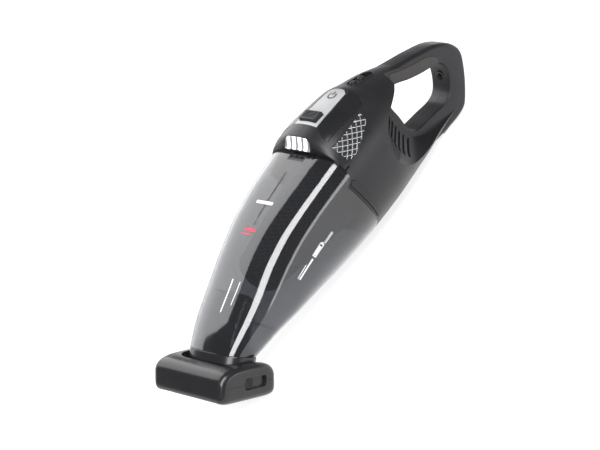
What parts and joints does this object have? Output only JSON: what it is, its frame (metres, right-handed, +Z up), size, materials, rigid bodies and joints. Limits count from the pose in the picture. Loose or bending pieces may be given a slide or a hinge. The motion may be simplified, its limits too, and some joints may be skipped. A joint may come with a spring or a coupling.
{
  "type": "handheld vacuum",
  "caption": "Cordless handheld vacuum with a long clear dust container, a looped handle and a small powered brush head.",
  "frame": {"origin": "middle of the footprint on the floor, with the vacuum lying on its belly on the handle's foot and the rear edge of the brush head", "axes": "+X from the brush head towards the handle, +Y to the machine's left, +Z up away from the floor it lies on"},
  "size_m": [0.5548, 0.1324, 0.169],
  "materials": {
    "graphite": "fine satin texture",
    "dark_plastic": "satin",
    "gloss_black": "high gloss",
    "silver_plastic": "pale satin",
    "smoke_clear": "smoke-tinted clear plastic",
    "soft_black": "soft touch",
    "frosted_lens": "frosted white lens",
    "mesh_cloth": "fine diamond mesh",
    "filter_paper": "pleated paper",
    "bristle": "nylon bristle",
    "circuit_board": "solder resist",
    "cell_wrap": "shrink sleeve",
    "chrome_mesh": "bright plated",
    "steel": "machined",
    "motor_metal": "plated can"
  },
  "bodies": {
    "body": {"body_shell_left": "graphite", "body_shell_right": "graphite", "body_screw_1": "steel", "body_screw_2": "steel", "body_screw_3": "steel", "top_panel": "silver_plastic", "cheek_trim_left": "gloss_black", "cheek_trim_right": "gloss_black", "side_grille_left": "chrome_mesh", "side_grille_right": "chrome_mesh", "seam_strip_left": "dark_plastic", "seam_strip_right": "dark_plastic", "led_lens": "frosted_lens", "grip_insert": "soft_black", "rear_foot": "soft_black", "switch_bezel": "dark_plastic", "latch_pin": "steel", "filter_bulkhead": "dark_plastic", "fan_housing": "dark_plastic", "motor_can": "motor_metal", "motor_mount_rear": "soft_black", "battery_cell_1": "cell_wrap", "battery_cell_2": "cell_wrap", "battery_cell_3": "cell_wrap", "battery_cell_4": "cell_wrap", "battery_cell_5": "cell_wrap", "battery_tray": "dark_plastic", "control_board": "circuit_board", "charging_socket": "dark_plastic"},
    "switch": {"power_switch": "dark_plastic"},
    "release": {"release_button": "dark_plastic"},
    "latch": {"latch_lever": "dark_plastic"},
    "fan": {"fan_impeller": "motor_metal", "motor_shaft": "steel"},
    "container": {"dust_container": "smoke_clear", "inlet_duct": "smoke_clear"},
    "flap": {"inlet_flap": "soft_black"},
    "filter": {"filter_frame": "dark_plastic", "filter_seal": "soft_black", "mesh_prefilter": "mesh_cloth", "pleated_filter": "filter_paper"},
    "neck": {"neck_collar": "gloss_black"},
    "head": {"head_upper_cover": "graphite", "head_front_cover": "graphite", "sole_plate": "dark_plastic", "end_cap_left": "graphite", "end_cap_right": "graphite", "roller_bearing_left": "steel", "roller_bearing_right": "steel", "wheel_axle": "steel", "head_motor": "motor_metal", "drive_belt": "soft_black"},
    "roller": {"roller_core": "dark_plastic", "bristle_row_1": "bristle", "bristle_row_2": "bristle"},
    "head_drive": {"drive_pulley": "steel"},
    "wheel_left": {"rear_wheel_left": "soft_black"},
    "wheel_right": {"rear_wheel_right": "soft_black"},
    "lock": {"lock_slider": "dark_plastic"}
  },
  "joints": [
    {"name": "power_switch_slide", "type": "slide", "parent": "body", "child": "switch", "axis": [0.9455, 0, -0.3256], "range_m": [0, 0.011]},
    {"name": "latch_turn", "type": "hinge", "parent": "body", "child": "latch", "pos_m": [0.07056, 0, 0.15], "axis": [0, -1, 0], "range_deg": [0, 5.15], "stiffness_Nm_per_rad": 0.4, "springref_deg": -8.59},
    {"name": "release_press", "type": "slide", "parent": "body", "child": "release", "axis": [0, 0, -1], "range_m": [0, 0.0015]},
    {"name": "fan_spin", "type": "hinge", "parent": "body", "child": "fan", "pos_m": [0.05256, 0, 0.08], "axis": [1, 0, 0], "continuous": true},
    {"name": "container_pull", "type": "slide", "parent": "body", "child": "container", "axis": [-1, 0, 0], "range_m": [0, 0.16]},
    {"name": "inlet_flap_swing", "type": "hinge", "parent": "container", "child": "flap", "pos_m": [-0.16124, 0, 0.095], "axis": [0, -1, 0], "range_deg": [0, 24]},
    {"name": "filter_pull", "type": "slide", "parent": "body", "child": "filter", "axis": [-1, 0, 0], "range_m": [0, 0.012]},
    {"name": "neck_pull", "type": "slide", "parent": "container", "child": "neck", "axis": [-0.7314, 0, -0.682], "range_m": [0, 0.03]},
    {"name": "head_tilt", "type": "hinge", "parent": "neck", "child": "head", "pos_m": [-0.21592, 0, 0.04296], "axis": [0, 1, 0], "range_deg": [-10, 10]},
    {"name": "roller_spin", "type": "hinge", "parent": "head", "child": "roller", "pos_m": [-0.26048, 0, 0.04825], "axis": [0, 1, 0], "continuous": true},
    {"name": "head_drive_spin", "type": "hinge", "parent": "head", "child": "head_drive", "pos_m": [-0.21425, 0, 0.01705], "axis": [0, 1, 0], "continuous": true},
    {"name": "rear_wheel_left_spin", "type": "hinge", "parent": "head", "child": "wheel_left", "pos_m": [-0.22063, 0.038, 0.00658], "axis": [0, 1, 0], "continuous": true},
    {"name": "rear_wheel_right_spin", "type": "hinge", "parent": "head", "child": "wheel_right", "pos_m": [-0.22063, -0.038, 0.00658], "axis": [0, 1, 0], "continuous": true},
    {"name": "lock_slide", "type": "slide", "parent": "head", "child": "lock", "axis": [0.7986, 0, -0.6018], "range_m": [0, 0.017]}
  ],
  "couplings": [
    {"joint": "release_press", "follows": "latch_turn", "m_per_rad": 0.016667},
    {"joint": "head_drive_spin", "follows": "roller_spin", "ratio": 1.6667}
  ]
}
